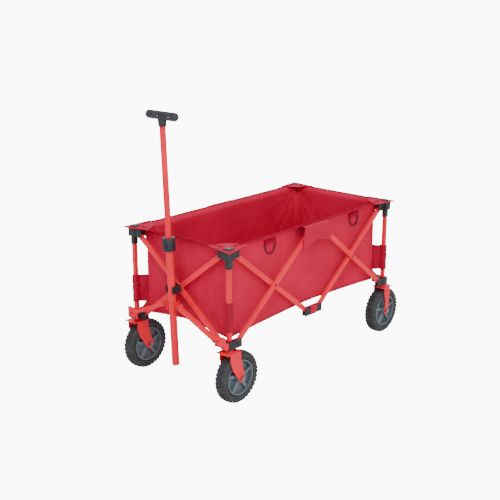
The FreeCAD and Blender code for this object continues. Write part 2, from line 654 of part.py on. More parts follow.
def make_wheel(name, wheel_x, wheel_y):
    """A wheel: a treaded tyre, a spoked rim and its axle bolt."""
    half = "tyre_width / 2"
    profile = (
        (f"{RIM_RADIUS} + post_fit", f"-{half} + bead_inset"), (f"{RIM_RADIUS} + bead", f"-{half}"),
        ("wheel_radius - shoulder", f"-{half}"), ("wheel_radius - shoulder_edge", f"-{half} + shoulder_edge"),
        ("wheel_radius", f"-{half} + shoulder"), ("wheel_radius", f"{half} - shoulder"),
        ("wheel_radius - shoulder_edge", f"{half} - shoulder_edge"), ("wheel_radius - shoulder", half),
        (f"{RIM_RADIUS} + bead", half), (f"{RIM_RADIUS} + post_fit", f"{half} - bead_inset"),
    )
    tyre = turned(f"tyre_{name}_turned", profile)
    part(f"tyre_{name}", place(tyre, (wheel_x, wheel_y, "wheel_radius")))

    centre = (wheel_x, wheel_y, "wheel_radius")
    hoop = rod(f"rim_out_{name}", centre, RIM_RADIUS, RIM_WIDTH, "Y")
    well = rod(f"rim_in_{name}", centre, f"{RIM_RADIUS} - rim_wall", f"{RIM_WIDTH} + 2 * overcut", "Y")
    web = rod(f"rim_web_{name}", centre, f"{RIM_RADIUS} - rim_overlap", "web_thickness", "Y")
    hub = rod(f"rim_hub_{name}", centre, "hub_radius", HUB_WIDTH, "Y")
    solids = [cut(f"rim_hoop_{name}", hoop, [well]), web, hub]
    spoke_depth = f"({RIM_WIDTH} - 2 * spoke_inset)"
    for i in range(SPOKES):
        spoke = doc.addObject("Part::Box", f"rim_spoke_{name}_{i}")
        spoke.setExpression("Length", bound(f"{RIM_RADIUS} - rim_overlap"))
        spoke.setExpression("Width", bound(spoke_depth))
        spoke.setExpression("Height", bound("spoke_width"))
        angle = 90 + 360 * i / SPOKES
        # Each spoke starts at the hub's axis, centred on its own line.
        side_x = f"{wheel_x} + spoke_width / 2 * sin({angle})"
        side_z = f"wheel_radius - spoke_width / 2 * cos({angle})"
        place(spoke, (side_x, f"{wheel_y} - {spoke_depth} / 2", side_z), (0, -angle, 0))
        solids.append(spoke)
    bore = rod(f"rim_bore_{name}", centre, "axle_radius + running_fit", f"{HUB_WIDTH} + 4 * overcut", "Y")
    blank = fuse(f"rim_blank_{name}", solids)
    part(f"rim_{name}", cut(f"rim_bored_{name}", blank, [bore]))

    shaft = rod(f"axle_shaft_{name}", centre, "axle_radius", f"2 * {FORK_HALF} + 2 * bolt_reach", "Y")
    heads = []
    for i, way in enumerate((-1, 1)):
        head_y = f"{wheel_y} + {way} * ({FORK_HALF} + bolt_head_height / 2 + bolt_gap)"
        head_at = (wheel_x, head_y, "wheel_radius")
        heads.append(rod(f"axle_head_{name}_{i}", head_at, "bolt_head_radius", "bolt_head_height", "Y"))
    part(f"axle_{name}", fuse(f"axle_bolt_{name}", [shaft] + heads))


def make_fork(label, cx, cy, trail, front, rear, leg_front, leg_rear):
    """A fork: a top plate, a king pin up into the lower joint and two legs down to the axle."""
    plate_at = (f"{cx} + ({rear} - {front}) / 2", cy, f"{FORK_TOP} - fork_plate / 2")
    solids = [box(label + "_top", plate_at, (f"{front} + {rear}", f"2 * {FORK_HALF}", "fork_plate"))]
    king_length = "(fork_gap + king_rise - king_entry - king_end_gap)"
    king_z = f"{FORK_TOP} + {king_length} / 2"
    solids.append(rod(label + "_king", (cx, cy, king_z), "king_radius", king_length, "Z"))
    washer = "(fork_gap - washer_gap)"
    washer_at = (cx, cy, f"{FORK_TOP} + {washer} / 2")
    solids.append(rod(label + "_washer", washer_at, "washer_radius", washer, "Z"))
    knee = f"{FORK_TOP} - leg_knee"
    outline = (
        (f"-{leg_front}", FORK_TOP), (f"-{leg_front}", knee),
        (f"-{leg_front} + leg_shin_back", f"{FORK_TOP} - leg_shin"),
        (f"{trail} - leg_tip * cos(30)", "wheel_radius - leg_tip * sin(30)"),
        (f"{trail} + leg_tip * cos(30)", "wheel_radius + leg_tip * sin(30)"),
        (leg_rear, knee), (leg_rear, FORK_TOP),
    )
    for i, way in enumerate((-1, 1)):
        leg_y = f"{cy} + {way} * ({FORK_HALF} - fork_plate / 2)"
        leg = plate(f"{label}_leg_{i}", outline, "fork_plate")
        solids.append(place(leg, (cx, leg_y, "0")))
        tip_at = (f"{cx} + {trail}", leg_y, "wheel_radius")
        solids.append(rod(f"{label}_tip_{i}", tip_at, "leg_tip", "fork_plate", "Y"))
    hole_at = (f"{cx} + {trail}", cy, "wheel_radius")
    drill = f"2 * {FORK_HALF} + 4 * overcut"
    axle_hole = rod(label + "_axle_hole", hole_at, "axle_radius + post_fit", drill, "Y")
    part(label, cut(label + "_drilled", fuse(label + "_blank", solids), [axle_hole]))


for corner, sx, sy in CORNERS:
    cx, cy = f"{sx} * frame_length / 2", f"{sy} * frame_width / 2"
    if sx < 0:
        legs = ("swivel_leg_front", "fork_rear")
        make_fork(f"swivel_fork_{corner}", cx, cy, "trail", "fork_front", "fork_rear", *legs)
        make_wheel(corner, f"{cx} + trail", cy)
    else:
        legs = ("leg_width / 2", "leg_width / 2")
        make_fork(f"rear_fork_{corner}", cx, cy, "0", "fork_rear", "fork_rear", *legs)
        make_wheel(corner, cx, cy)


def make_bag():
    """The sewn bag: an open box with a firm floor."""
    middle = f"({BAG_LOW} + {BAG_HIGH}) / 2"
    depth = f"({BAG_HIGH} - {BAG_LOW})"
    outer = box("bag_out", ("0", "0", middle), (BAG_LENGTH, BAG_WIDTH, depth))
    inside = (f"{BAG_LENGTH} - 2 * cloth", f"{BAG_WIDTH} - 2 * cloth", depth)
    inner = box("bag_in", ("0", "0", f"{middle} + floor_board"), inside)
    part("bag", cut("bag_shell", outer, [inner]))


make_bag()


def side_rings(side, sy):
    """Two D-shaped lashing rings on a side wall, hanging from the hem."""
    ring_y = f"{sy} * ({BAG_WIDTH} / 2 + ring_wire + ring_gap)"
    bend_z = f"{BAG_HIGH} - ring_drop"
    rings = []
    for i, way in enumerate((-1, 1)):
        name = f"{side}_ring_{i}"
        bend = doc.addObject("Part::Torus", name + "_bend")
        bend.setExpression("Radius1", bound("ring_radius"))
        bend.setExpression("Radius2", bound("ring_wire"))
        bend.Angle3 = 180
        centre_x = f"{way} * (frame_length / 4 + ring_shift)"
        solids = [place(bend, (centre_x, ring_y, bend_z), (0, 0, -90))]
        for j, leg in enumerate((-1, 1)):
            leg_at = (f"{centre_x} + {leg} * ring_radius", ring_y, f"{bend_z} + ring_leg / 2")
            solids.append(rod(f"{name}_leg_{j}", leg_at, "ring_wire", "ring_leg", "Z"))
        rings.append(fuse(name, solids))
    return rings


group = doc.addObject("Part::Compound", "ring_group")
group.Links = side_rings("left", -1) + side_rings("right", 1)
part("lashing_rings", group)

doc.recompute()
for item in doc.Objects:
    if {"Invalid", "Error"} & set(item.State):
        raise RuntimeError(f"{item.Name} did not compute: {item.State}")
for label, thing in parts.items():
    if thing.Shape.isNull() or not thing.Shape.isValid():
        raise RuntimeError(f"{label} has no valid shape")

os.makedirs("parts", exist_ok=True)
for label, thing in parts.items():
    thing.Shape.exportStep(f"parts/{label}.step")
    print(label, len(thing.Shape.Solids), round(thing.Shape.Volume / 1000, 2))
print(len(parts), "sub-parts")
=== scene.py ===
# %% [markdown]
# # A folding wagon with a pull handle
# The frame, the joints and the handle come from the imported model, already in place. This lesson
# gives them their finishes and makes what a maker of soft goods would add: the sewn bag with its
# corner flaps, sleeves and hems, the moulded treads of the tyres, and the small screws and rings.

# %% Load the frame and keep its box
import json
import math

import bmesh
import bpy
from mathutils import Matrix, Vector


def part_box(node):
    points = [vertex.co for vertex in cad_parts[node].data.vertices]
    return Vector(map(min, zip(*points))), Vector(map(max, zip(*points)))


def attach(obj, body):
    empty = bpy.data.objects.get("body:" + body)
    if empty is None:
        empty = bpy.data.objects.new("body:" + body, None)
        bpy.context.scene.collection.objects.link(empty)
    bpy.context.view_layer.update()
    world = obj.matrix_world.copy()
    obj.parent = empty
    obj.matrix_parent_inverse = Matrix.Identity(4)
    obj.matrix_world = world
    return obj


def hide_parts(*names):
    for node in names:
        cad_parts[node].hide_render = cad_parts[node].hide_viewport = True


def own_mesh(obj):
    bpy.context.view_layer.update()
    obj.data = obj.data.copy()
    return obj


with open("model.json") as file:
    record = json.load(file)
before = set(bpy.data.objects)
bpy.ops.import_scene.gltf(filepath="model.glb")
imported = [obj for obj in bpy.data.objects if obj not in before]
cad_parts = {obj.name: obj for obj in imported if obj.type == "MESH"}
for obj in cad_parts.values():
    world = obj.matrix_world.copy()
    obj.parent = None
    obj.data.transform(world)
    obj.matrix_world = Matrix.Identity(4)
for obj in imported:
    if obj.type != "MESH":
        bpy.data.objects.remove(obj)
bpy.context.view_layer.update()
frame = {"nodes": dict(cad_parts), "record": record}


def corners(node):
    """The low and the high corner of a CAD node's box."""
    return [Vector(corner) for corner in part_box(node)]


def middle(node):
    """The centre of a CAD node's box."""
    low, high = corners(node)
    return (low + high) / 2


bag_low, bag_high = corners("bag")
half_x, half_y = bag_high.x, bag_high.y
print("front left post", [round(v, 3) for v in middle("post_fl")])
print("bag", [round(v, 3) for v in bag_high])

# %% [markdown]
# Shader maths reads best as plain sums. A small class wraps a socket, so that `0.4 + wave * 0.2`
# adds the Math nodes it needs. Every other node comes from `Finish.node`, which takes the node's
# type, its settings and the values or links of its sockets.

# %% Sockets as numbers, and a material builder


class Sock:
    """A node's output that can be added, multiplied and compared like a number."""

    def __init__(self, finish, socket):
        self.finish = finish
        self.socket = socket

    def maths(self, operation, *others):
        values = dict(enumerate((self,) + others))
        return self.finish.node("ShaderNodeMath", {"operation": operation}, values)

    def __add__(self, other):
        return self.maths("ADD", other)

    __radd__ = __add__

    def __mul__(self, other):
        return self.maths("MULTIPLY", other)

    __rmul__ = __mul__

    def sine(self):
        return self.maths("SINE")

    def between(self, low, high):
        """0 below low, 1 above high, smooth between them."""
        inputs = {"Value": self, "From Min": low, "From Max": high, "To Min": 0.0, "To Max": 1.0}
        settings = {"interpolation_type": "SMOOTHSTEP"}
        return self.finish.node("ShaderNodeMapRange", settings, inputs)


class Finish:
    """A material with a Principled shader, and the nodes that feed it."""

    def __init__(self, name):
        self.material = bpy.data.materials.new(name)
        self.material.use_nodes = True
        self.tree = self.material.node_tree
        self.shader = next(n for n in self.tree.nodes if n.type == "BSDF_PRINCIPLED")

    def node(self, kind, settings=None, inputs=None, output=0):
        made = self.tree.nodes.new(kind)
        for key, value in (settings or {}).items():
            setattr(made, key, value)
        for key, value in (inputs or {}).items():
            self.feed(made.inputs[key], value)
        return Sock(self, made.outputs[output])

    def feed(self, socket, value):
        if isinstance(value, Sock):
            self.tree.links.new(value.socket, socket)
        else:
            socket.default_value = value

    def set(self, **sockets):
        """Set the shader's own sockets, named with underscores for spaces."""
        for key, value in sockets.items():
            self.feed(self.shader.inputs[key.replace("_", " ")], value)

    def place(self):
        return self.node("ShaderNodeTexCoord", output="Object")

    def axes(self):
        split = self.tree.nodes.new("ShaderNodeSeparateXYZ")
        self.feed(split.inputs[0], self.place())
        return [Sock(self, out) for out in split.outputs]

    def noise(self, scale, detail=3.0, roughness=0.5):
        inputs = {"Vector": self.place(), "Scale": scale, "Detail": detail, "Roughness": roughness}
        return self.node("ShaderNodeTexNoise", {"noise_dimensions": "3D"}, inputs)

    def blend(self, factor, first, second):
        """A colour between two others."""
        inputs = {0: factor, 6: first, 7: second}
        return self.node("ShaderNodeMix", {"data_type": "RGBA"}, inputs, output=2)

    def bump(self, height, distance, strength=1.0):
        inputs = {"Height": height, "Distance": distance, "Strength": strength}
        self.set(Normal=self.node("ShaderNodeBump", None, inputs))


def rgb(red, green, blue):
    return (red, green, blue, 1.0)


# %% [markdown]
# The tubes are powder coated: a warm light red with a soft gloss and the faint orange peel of a
# baked coat. A broad noise lets the colour drift a little and rubs the gloss down where hands and
# grass have touched it.

# %% Powder coat on the steel


def powder_coat():
    finish = Finish("red powder coat")
    drift = finish.noise(9.0, 4.0).between(0.35, 0.7)
    grime = finish.noise(38.0, 6.0, 0.7).between(0.62, 0.8)
    fresh = finish.blend(drift, rgb(0.84, 0.003, 0.026), rgb(0.94, 0.008, 0.038))
    finish.set(Base_Color=finish.blend(grime * 0.35, fresh, rgb(0.42, 0.006, 0.012)))
    finish.set(Roughness=0.36 + drift * 0.08 + grime * 0.2)
    finish.set(Coat_Weight=0.04, Coat_Roughness=0.25, Specular_IOR_Level=0.2)
    finish.bump(finish.noise(900.0, 2.0), 0.00012, 0.5)
    return finish.material


# %% [markdown]
# The joints, the clip, the collar and the grip are black moulded plastic with a fine spark-eroded
# grain. Fine noise gives the grain and a slower noise the handled, greyer places.

# %% Black and grey moulded plastic


def moulding(name, dark, light, rough, grain):
    finish = Finish(name)
    worn = finish.noise(24.0, 5.0, 0.6).between(0.4, 0.72)
    finish.set(Base_Color=finish.blend(worn, dark, light))
    finish.set(Roughness=rough + worn * 0.12, Specular_IOR_Level=0.28)
    finish.bump(finish.noise(1400.0, 2.0) + finish.noise(160.0, 2.0) * 0.6, grain, 0.6)
    return finish.material


# %% [markdown]
# Tyre rubber is dull and slightly dusty, the more so in the tread. The dust follows a noise, with
# the radius left alone, so that it holds on all four wheels wherever they stand.

# %% Tyre rubber


def tyre_rubber():
    finish = Finish("tyre rubber")
    dust = finish.noise(30.0, 6.0, 0.65).between(0.45, 0.75)
    finish.set(Base_Color=finish.blend(dust, rgb(0.022, 0.024, 0.028), rgb(0.06, 0.062, 0.066)))
    finish.set(Roughness=0.62 + dust * 0.2)
    finish.bump(finish.noise(700.0, 3.0), 0.0002, 0.6)
    return finish.material


# %% [markdown]
# The axle bolts and the grip's screws are plated steel. A metal takes its colour from what it
# mirrors, so this finish is short.

# %% Bolt heads and screws


def plated_steel():
    finish = Finish("dark plated steel")
    tarnish = finish.noise(120.0, 5.0).between(0.4, 0.7)
    finish.set(Base_Color=finish.blend(tarnish, rgb(0.30, 0.29, 0.28), rgb(0.16, 0.14, 0.13)))
    finish.set(Metallic=0.9, Roughness=0.34 + tarnish * 0.2)
    finish.bump(finish.noise(1100.0, 2.0), 0.00008, 0.5)
    return finish.material


# %% [markdown]
# The bag is a coated polyester canvas. Its plain weave is two sine waves at right angles along the
# panel, one for the warp and one for the weft, and it has hardly any sheen. Where the weave rises
# its colour is painted lighter, a painted highlight on the thread tops. The two long panels run
# along X and the end panels along Y, so the weave takes the axis it is given. The ends, the floor,
# the caps and flaps and the sleeves are copies of the same canvas made darker: painted shade.

# %% Canvas, thread and webbing
THREAD_PITCH = 0.0011


def canvas(name, across, shade=1.0):
    """Woven canvas: across is 0 for a panel along X, 1 along Y, and the floor takes both."""
    finish = Finish(name)
    x, y, z = finish.axes()
    run = (x, y, x)[across]
    rise = (z, z, y)[across]
    turns = 2 * math.pi / THREAD_PITCH
    warp = (run * turns).sine()
    weft = (rise * turns).sine()
    weave = warp * weft
    cloud = finish.noise(5.0, 5.0, 0.55).between(0.3, 0.7)
    slub = finish.noise(260.0, 4.0, 0.6).between(0.35, 0.75)
    # A shade below 1 darkens every colour of this canvas: painted shade on its darker copies.
    deep = rgb(0.50 * shade, 0.0010 * shade, 0.034 * shade)
    full = rgb(0.66 * shade, 0.0020 * shade, 0.052 * shade)
    lift = rgb(0.80 * shade, 0.0120 * shade, 0.085 * shade)
    body = finish.blend(cloud, deep, full)
    # The weave's raised crossings are blended towards the lighter colour: a painted highlight on
    # the thread tops.
    thread = finish.blend(weave.between(-0.2, 1.0) * 0.35, body, lift)
    finish.set(Base_Color=finish.blend(slub * 0.25, thread, full))
    finish.set(Roughness=0.72 + slub * 0.12)
    finish.set(Specular_IOR_Level=0.15)
    finish.set(Sheen_Weight=0.04, Sheen_Roughness=0.5, Sheen_Tint=rgb(1.0, 0.3, 0.4))
    finish.bump(weave * 0.5 + slub, 0.00025, 0.8)
    return finish.material


def thread(name, colour):
    finish = Finish(name)
    twist = finish.noise(900.0, 2.0)
    finish.set(Base_Color=finish.blend(twist, colour, rgb(*(c * 0.6 for c in colour[:3]))))
    finish.set(Roughness=0.75, Specular_IOR_Level=0.1)
    finish.bump(twist, 0.0002, 0.8)
    return finish.material


def satin_wire():
    finish = Finish("black wire")
    worn = finish.noise(90.0, 4.0).between(0.5, 0.75)
    finish.set(Base_Color=finish.blend(worn, rgb(0.012, 0.012, 0.014), rgb(0.05, 0.05, 0.055)))
    finish.set(Metallic=0.3, Roughness=0.35 + worn * 0.15)
    finish.bump(finish.noise(600.0, 2.0), 0.0001, 0.4)
    return finish.material


RED = powder_coat()
BLACK = moulding(
    "black moulding", rgb(0.020, 0.022, 0.027), rgb(0.045, 0.048, 0.055), 0.42, 0.00015)
GREY = moulding(
    "grey wheel moulding", rgb(0.105, 0.135, 0.160), rgb(0.16, 0.19, 0.21), 0.36, 0.0001)
RUBBER = tyre_rubber()
STEEL = plated_steel()
SIDE_CANVAS = canvas("canvas along the sides", 0)
# The ends, the floor, the caps and flaps and the sleeves are the same canvas made darker: painted
# shade.
END_CANVAS_PAINTED_SHADE = canvas("canvas across the ends, in painted shade", 1, 0.9)
FLOOR_CANVAS_PAINTED_SHADE = canvas("canvas on the floor, in painted shade", 2, 0.8)
FLAP_CANVAS_PAINTED_SHADE = canvas("canvas of caps and flaps, in painted shade", 0, 0.92)
SHADED_CANVAS = canvas("canvas of the sleeves, in painted shade", 0, 0.62)
STITCH = thread("red thread", rgb(0.56, 0.006, 0.035))
WEBBING = thread("dark red binding", rgb(0.42, 0.001, 0.030))
WIRE = satin_wire()
SLOT_FINISH = {
    "red_steel": RED, "black_plastic": BLACK, "grey_plastic": GREY, "tread_rubber": RUBBER,
    "plated_steel": STEEL, "red_canvas": SIDE_CANVAS, "black_wire": WIRE,
}
for entry in frame["record"]["subparts"]:
    node = frame["nodes"][entry["node"]]
    node.data.materials.clear()
    node.data.materials.append(SLOT_FINISH[entry["material_slot"]])
print("finishes on", len(frame["nodes"]), "nodes")

# %% [markdown]
# The camera stands low at the front left corner with a long lens, so the wagon keeps nearly
# parallel lines. Three soft lights work like a studio's. The sweep behind the wagon is blown out to
# white: the camera sees a bright sweep, but its light on the wagon stays soft.

# %% Camera, floor and lights
CAMERA_AT = (-2.6273, -2.2289, 1.4342)
CAMERA_TURN = (math.radians(90 - 16.594), math.radians(0.01), math.radians(-48.656))
camera = bpy.data.objects.new("camera", bpy.data.cameras.new("camera"))
camera.data.lens = 67.19
camera.data.sensor_width = 36.0
camera.location = CAMERA_AT
camera.rotation_euler = CAMERA_TURN
bpy.context.collection.objects.link(camera)
bpy.context.scene.camera = camera


def area_light(name, at, aim, size, power):
    light = bpy.data.objects.new(name, bpy.data.lights.new(name, "AREA"))
    light.data.size = size
    light.data.energy = power
    light.location = at
    light.rotation_euler = (Vector(aim) - Vector(at)).to_track_quat("-Z", "Y").to_euler()
    bpy.context.collection.objects.link(light)


area_light("key light", (-2.4, -1.2, 3.2), (0, 0, 0.3), 2.2, 80)
area_light("fill light", (-0.6, -3.6, 1.6), (0, 0, 0.4), 3.0, 45)
area_light("rim light", (2.6, 2.4, 2.8), (0, 0, 0.4), 2.5, 35)
SWEEP_SEEN = 10.0
SWEEP_LIGHT = 0.85
FLOOR_HALF = 9.0


def seen_by_camera(tree, hidden, shown, output):
    """Mix two shaders so that the camera alone sees the second."""
    mix = tree.nodes.new("ShaderNodeMixShader")
    path = tree.nodes.new("ShaderNodeLightPath")
    tree.links.new(path.outputs["Is Camera Ray"], mix.inputs[0])
    tree.links.new(hidden.outputs[0], mix.inputs[1])
    tree.links.new(shown.outputs[0], mix.inputs[2])
    tree.links.new(mix.outputs[0], output.inputs["Surface"])


world = bpy.data.worlds.new("studio")
world.use_nodes = True
soft = world.node_tree.nodes["Background"]
bright = world.node_tree.nodes.new("ShaderNodeBackground")
for sky, strength in ((soft, SWEEP_LIGHT), (bright, SWEEP_SEEN)):
    sky.inputs["Color"].default_value = rgb(1.0, 1.0, 1.0)
    sky.inputs["Strength"].default_value = strength
seen_by_camera(world.node_tree, soft, bright, world.node_tree.nodes["World Output"])
bpy.context.scene.world = world


MERGE = 1e-6


def grid_mesh(bm, columns, rows):
    """Add a flat grid from -1 to 1, to be moved by a formula."""
    bmesh.ops.create_grid(bm, x_segments=columns, y_segments=rows, size=1.0)
    return bm.verts


def shares(vertex):
    """A flat grid's vertex as two shares from 0 to 1."""
    return (vertex.co.x + 1) / 2, (vertex.co.y + 1) / 2


def face_towards(bm, direction):
    """Turn a sheet's faces over if they look away from a direction."""
    if sum(face.normal.dot(direction) for face in bm.faces) < 0:
        bmesh.ops.reverse_faces(bm, faces=bm.faces)


def thicken(piece, thickness, offset=-1.0):
    """Give a sheet its thickness: inwards at -1, to both sides at 0, outwards at 1."""
    thick = piece.modifiers.new("cloth", "SOLIDIFY")
    thick.thickness = thickness
    thick.offset = offset


def new_piece(name, bm, finish, smooth=True):
    """Turn a bmesh into an object whose place is in its mesh."""
    mesh = bpy.data.meshes.new(name)
    for face in bm.faces:
        face.smooth = smooth
    bm.to_mesh(mesh)
    bm.free()
    piece = bpy.data.objects.new(name, mesh)
    mesh.materials.append(finish)
    bpy.context.collection.objects.link(piece)
    return piece


def floor():
    finish = Finish("pale studio floor")
    pale, paler = rgb(0.90, 0.90, 0.90), rgb(0.93, 0.93, 0.93)
    finish.set(Base_Color=finish.blend(finish.noise(2.0), pale, paler))
    finish.set(Roughness=0.9)
    glow = finish.tree.nodes.new("ShaderNodeEmission")
    glow.inputs["Strength"].default_value = SWEEP_SEEN
    seen_by_camera(finish.tree, finish.shader, glow, finish.tree.nodes["Material Output"])
    bm = bmesh.new()
    for vertex in grid_mesh(bm, 1, 1):
        vertex.co *= FLOOR_HALF
    new_piece("studio_floor", bm, finish.material)


floor()

# %% [markdown]
# Each wall of the bag hangs between two corners. On the real bag the hem is drawn tight from corner
# to corner and lies over the tops of the bars as a narrow lip. The cloth below it bellies outwards,
# and pull lines fan out of the top corners. A wall is a fine grid moved by a formula that says just
# that, then thickened. Cloth simulation would droop it too far: the real wall is cut to size and
# held on all four edges.

# %% Shape of a wall panel
HEM_LIFT = 0.0095
HEM_CORNER_LIFT = 0.0025
LIP = 0.022
FOOT_CORNER_DROP = 0.020
CLOTH = 0.0016
WALL_INSET = 0.002
CORNER_RADIUS = 0.022
WALL_ROWS = 56
# Outward direction, half length, distance from the bag's middle, arch of the foot, belly and seed.
WALL_SHAPES = {
    "left": ((0, -1, 0), half_x, half_y - WALL_INSET, 0.003, 0.004, 1.0),
    "right": ((0, 1, 0), half_x, half_y - WALL_INSET, 0.003, 0.004, 4.0),
    "front": ((-1, 0, 0), half_y, half_x - WALL_INSET, 0.003, 0.005, 2.5),
    "rear": ((1, 0, 0), half_y, half_x - WALL_INSET, 0.003, 0.005, 6.0),
}


def smoothstep(value):
    value = min(max(value, 0.0), 1.0)
    return value * value * (3 - 2 * value)


def pull_lines(u, v, seed):
    """Fine creases that fan out of the two top corners, and soft folds lower down."""
    height = 0.0
    for side in (0.0, 1.0):
        across = abs(u - side) * 3.2
        down = 1.0 - v
        reach = math.hypot(across, down)
        angle = math.atan2(down, across + 1e-6)
        fade = math.exp(-2.6 * reach) * smoothstep(reach * 6)
        height += 0.0028 * math.sin(angle * 15 + seed + side * 2) * fade
        height += 0.0014 * math.sin(angle * 27 + seed * 2 + side) * fade
    height += 0.0016 * math.sin(u * 21 + seed) * math.sin(v * 5 + seed) * math.sin(math.pi * v)
    height += 0.0011 * math.sin(u * 47 + v * 9 + seed * 3) * math.sin(math.pi * v)
    return height


def wall_point(u, v, half_run, arch, belly, seed):
    """Along, outward and up for a place on a wall: u along it and v from foot to hem, 0 to 1."""
    along = (2 * u - 1) * half_run
    corner = abs(2 * u - 1)
    near_corner = smoothstep((corner - 0.72) / 0.28)
    hem = bag_high.z + HEM_LIFT + HEM_CORNER_LIFT * near_corner ** 2
    bow = arch * math.exp(-((2 * u - 1) / 0.16) ** 2)
    foot = bag_low.z - FOOT_CORNER_DROP * corner ** 1.6 + bow
    up = foot + (hem - foot) * v
    swell = belly * math.sin(math.pi * min(v * 1.1, 1.0)) * (1 - corner ** 4)
    flare = 0.010 * smoothstep((v - 0.72) / 0.28) * near_corner
    lip = LIP * (1 - 0.45 * near_corner) * smoothstep((v - 0.962) / 0.038)
    creases = pull_lines(u, v, seed) * (1 - 0.6 * near_corner) * (1 - v ** 12)
    outward = swell + flare + lip + creases
    return along, outward, up


def rounded_corner(along, outward, half_run):
    """Bend the last stretch of a wall round the bag's upright corner."""
    past = abs(along) - (half_run - CORNER_RADIUS)
    if past <= 0:
        return along, outward
    turn = min(past / CORNER_RADIUS, 1.0) * math.pi / 4
    reach = half_run - CORNER_RADIUS + CORNER_RADIUS * 1.15 * math.sin(turn)
    return math.copysign(reach, along), outward - CORNER_RADIUS * (1 - math.cos(turn))


def on_wall(side, u, v, proud=0.0):
    """A point on a wall's outer face, stood off by proud."""
    normal, half_run, half_gap, arch, belly, seed = WALL_SHAPES[side]
    along, outward, up = wall_point(u, v, half_run, arch, belly, seed)
    along, outward = rounded_corner(along, outward, half_run)
    direction = Vector(normal)
    sideways = Vector((abs(direction.y), abs(direction.x), 0))
    return sideways * along + direction * (half_gap + outward + proud) + Vector((0, 0, up))


def wall(side, finish, columns):
    """A wall panel, bent from a flat grid."""
    bm = bmesh.new()
    for vertex in grid_mesh(bm, columns, WALL_ROWS):
        u, v = shares(vertex)
        vertex.co = on_wall(side, u, v)
    bm.normal_update()
    face_towards(bm, Vector(WALL_SHAPES[side][0]))
    piece = new_piece(f"wall_{side}", bm, finish)
    thicken(piece, CLOTH)
    return piece


WALLS = {side: wall(side, SIDE_CANVAS, 220) for side in ("left", "right")}
WALLS.update({side: wall(side, END_CANVAS_PAINTED_SHADE, 120) for side in ("front", "rear")})
print("walls", {side: len(piece.data.vertices) for side, piece in WALLS.items()})

# %% [markdown]
# The bag's firm floor is five stiffened panels with a soft seam between each and the next. Each
# panel is a grid that crowns between its seams, with a thickness, and rides on its own body. When
# the wagon is folded the panels stay level and pass through each other; real ones would stand up.

# %% Floor panels
PANEL_ENDS = (-0.436, -0.245, -0.108, 0.108, 0.245, 0.436)
PANEL_BODIES = (
    "top_corner_fl", "left_bar_front_outer", "top_middle_left", "left_bar_rear_outer",
    "top_corner_rl")
PANEL_THICKNESS = 0.004
SEAM_DIP = 0.0026
FLOOR_LIFT = 0.0010
FLOOR_SIDE_GAP = 0.003


def floor_panel(index):
    low_x, high_x = PANEL_ENDS[index:index + 2]
    reach = half_y - FLOOR_SIDE_GAP
    bm = bmesh.new()
    for vertex in grid_mesh(bm, 36, 76):
        u, v = shares(vertex)
        crown = min(math.sin(math.pi * u) * 5, 1.0) * min(math.sin(math.pi * v) * 9, 1.0)
        ripple = 0.0004 * math.sin(u * 9 + index) * math.sin(v * 23 + index * 2)
        up = bag_low.z + FLOOR_LIFT + SEAM_DIP * crown ** 0.6 + ripple * crown
        vertex.co = Vector((low_x + (high_x - low_x) * u, (2 * v - 1) * reach, up))
    piece = new_piece(f"floor_panel_{index + 1}", bm, FLOOR_CANVAS_PAINTED_SHADE)
    thicken(piece, PANEL_THICKNESS, 1.0)
    return piece


FLOORS = [floor_panel(index) for index in range(len(PANEL_BODIES))]

# %% [markdown]
# A turned-over hem runs round the top of the bag: a soft binding, and a row of stitches below it.
# The binding is a grid rolled into a tube along the hem. Each stitch is a tiny box of six faces,
# because there are hundreds of them.

# %% Hem binding and stitches
STITCH_PITCH = 0.0062
STITCH_LEVELS = (0.945, 0.03)
STITCH_PROUD = 0.0006
HEM_HALF = (0.0024, 0.0034)
HEM_SUNK = -0.0008
UP = Vector((0, 0, 1))


def tube_along(name, path, radii, columns, around, finish, side=None):
    """A closed tube along path(t), t from 0 to 1; radii are its half width and half height.

    Its width lies level, square to the path, unless side gives another direction.
    """
    bm = bmesh.new()
    grid_mesh(bm, columns, around)
    for vertex in bm.verts:
        t, turn = (vertex.co.x + 1) / 2, (vertex.co.y + 1) * math.pi
        ahead = (path(min(t + 0.004, 1.0)) - path(max(t - 0.004, 0.0))).normalized()
        across = ahead.cross(UP).normalized() if side is None else side
        lift = across.cross(ahead)
        vertex.co = path(t) + across * math.cos(turn) * radii[0] + lift * math.sin(turn) * radii[1]
    bmesh.ops.remove_doubles(bm, verts=bm.verts, dist=MERGE)
    bmesh.ops.holes_fill(bm, edges=[edge for edge in bm.edges if edge.is_boundary])
    bmesh.ops.recalc_face_normals(bm, faces=bm.faces)
    return new_piece(name, bm, finish)


def add_box(bm, at, size, turn=None):
    """A small block in a bmesh, turned by a matrix before it is placed."""
    made = bmesh.ops.create_cube(bm, size=1.0)["verts"]
    bmesh.ops.scale(bm, vec=Vector(size), verts=made)
    if turn is not None:
        bmesh.ops.transform(bm, matrix=turn, verts=made)
    bmesh.ops.translate(bm, vec=Vector(at), verts=made)
    return made


def soften_edges(bm, edges):
    bmesh.ops.bevel(
        bm, geom=edges, offset=0.0012, segments=2, profile=0.5, affect="EDGES", material=-1)


def add_disc(bm, at, radius, height, turn=None, sides=20, top=1.0):
    """A short cylinder or a domed rivet head in a bmesh."""
    made = bmesh.ops.create_cone(
        bm, cap_ends=True, segments=sides, radius1=radius, radius2=radius * top,
        depth=height)["verts"]
    if turn is not None:
        bmesh.ops.transform(bm, matrix=turn, verts=made)
    bmesh.ops.translate(bm, vec=Vector(at), verts=made)
    return made


def stitch_row(bm, point, length):
    """Stitches along point(t), each lying along the row."""
    count = int(length / STITCH_PITCH)
    for i in range(count):
        t = (i + 0.5) / count
        ahead = (point(min(t + 0.003, 1.0)) - point(max(t - 0.003, 0.0))).normalized()
        turn = ahead.to_track_quat("X", "Z").to_matrix().to_4x4()
        add_box(bm, point(t), (STITCH_PITCH * 0.62, 0.0007, 0.0009), turn)


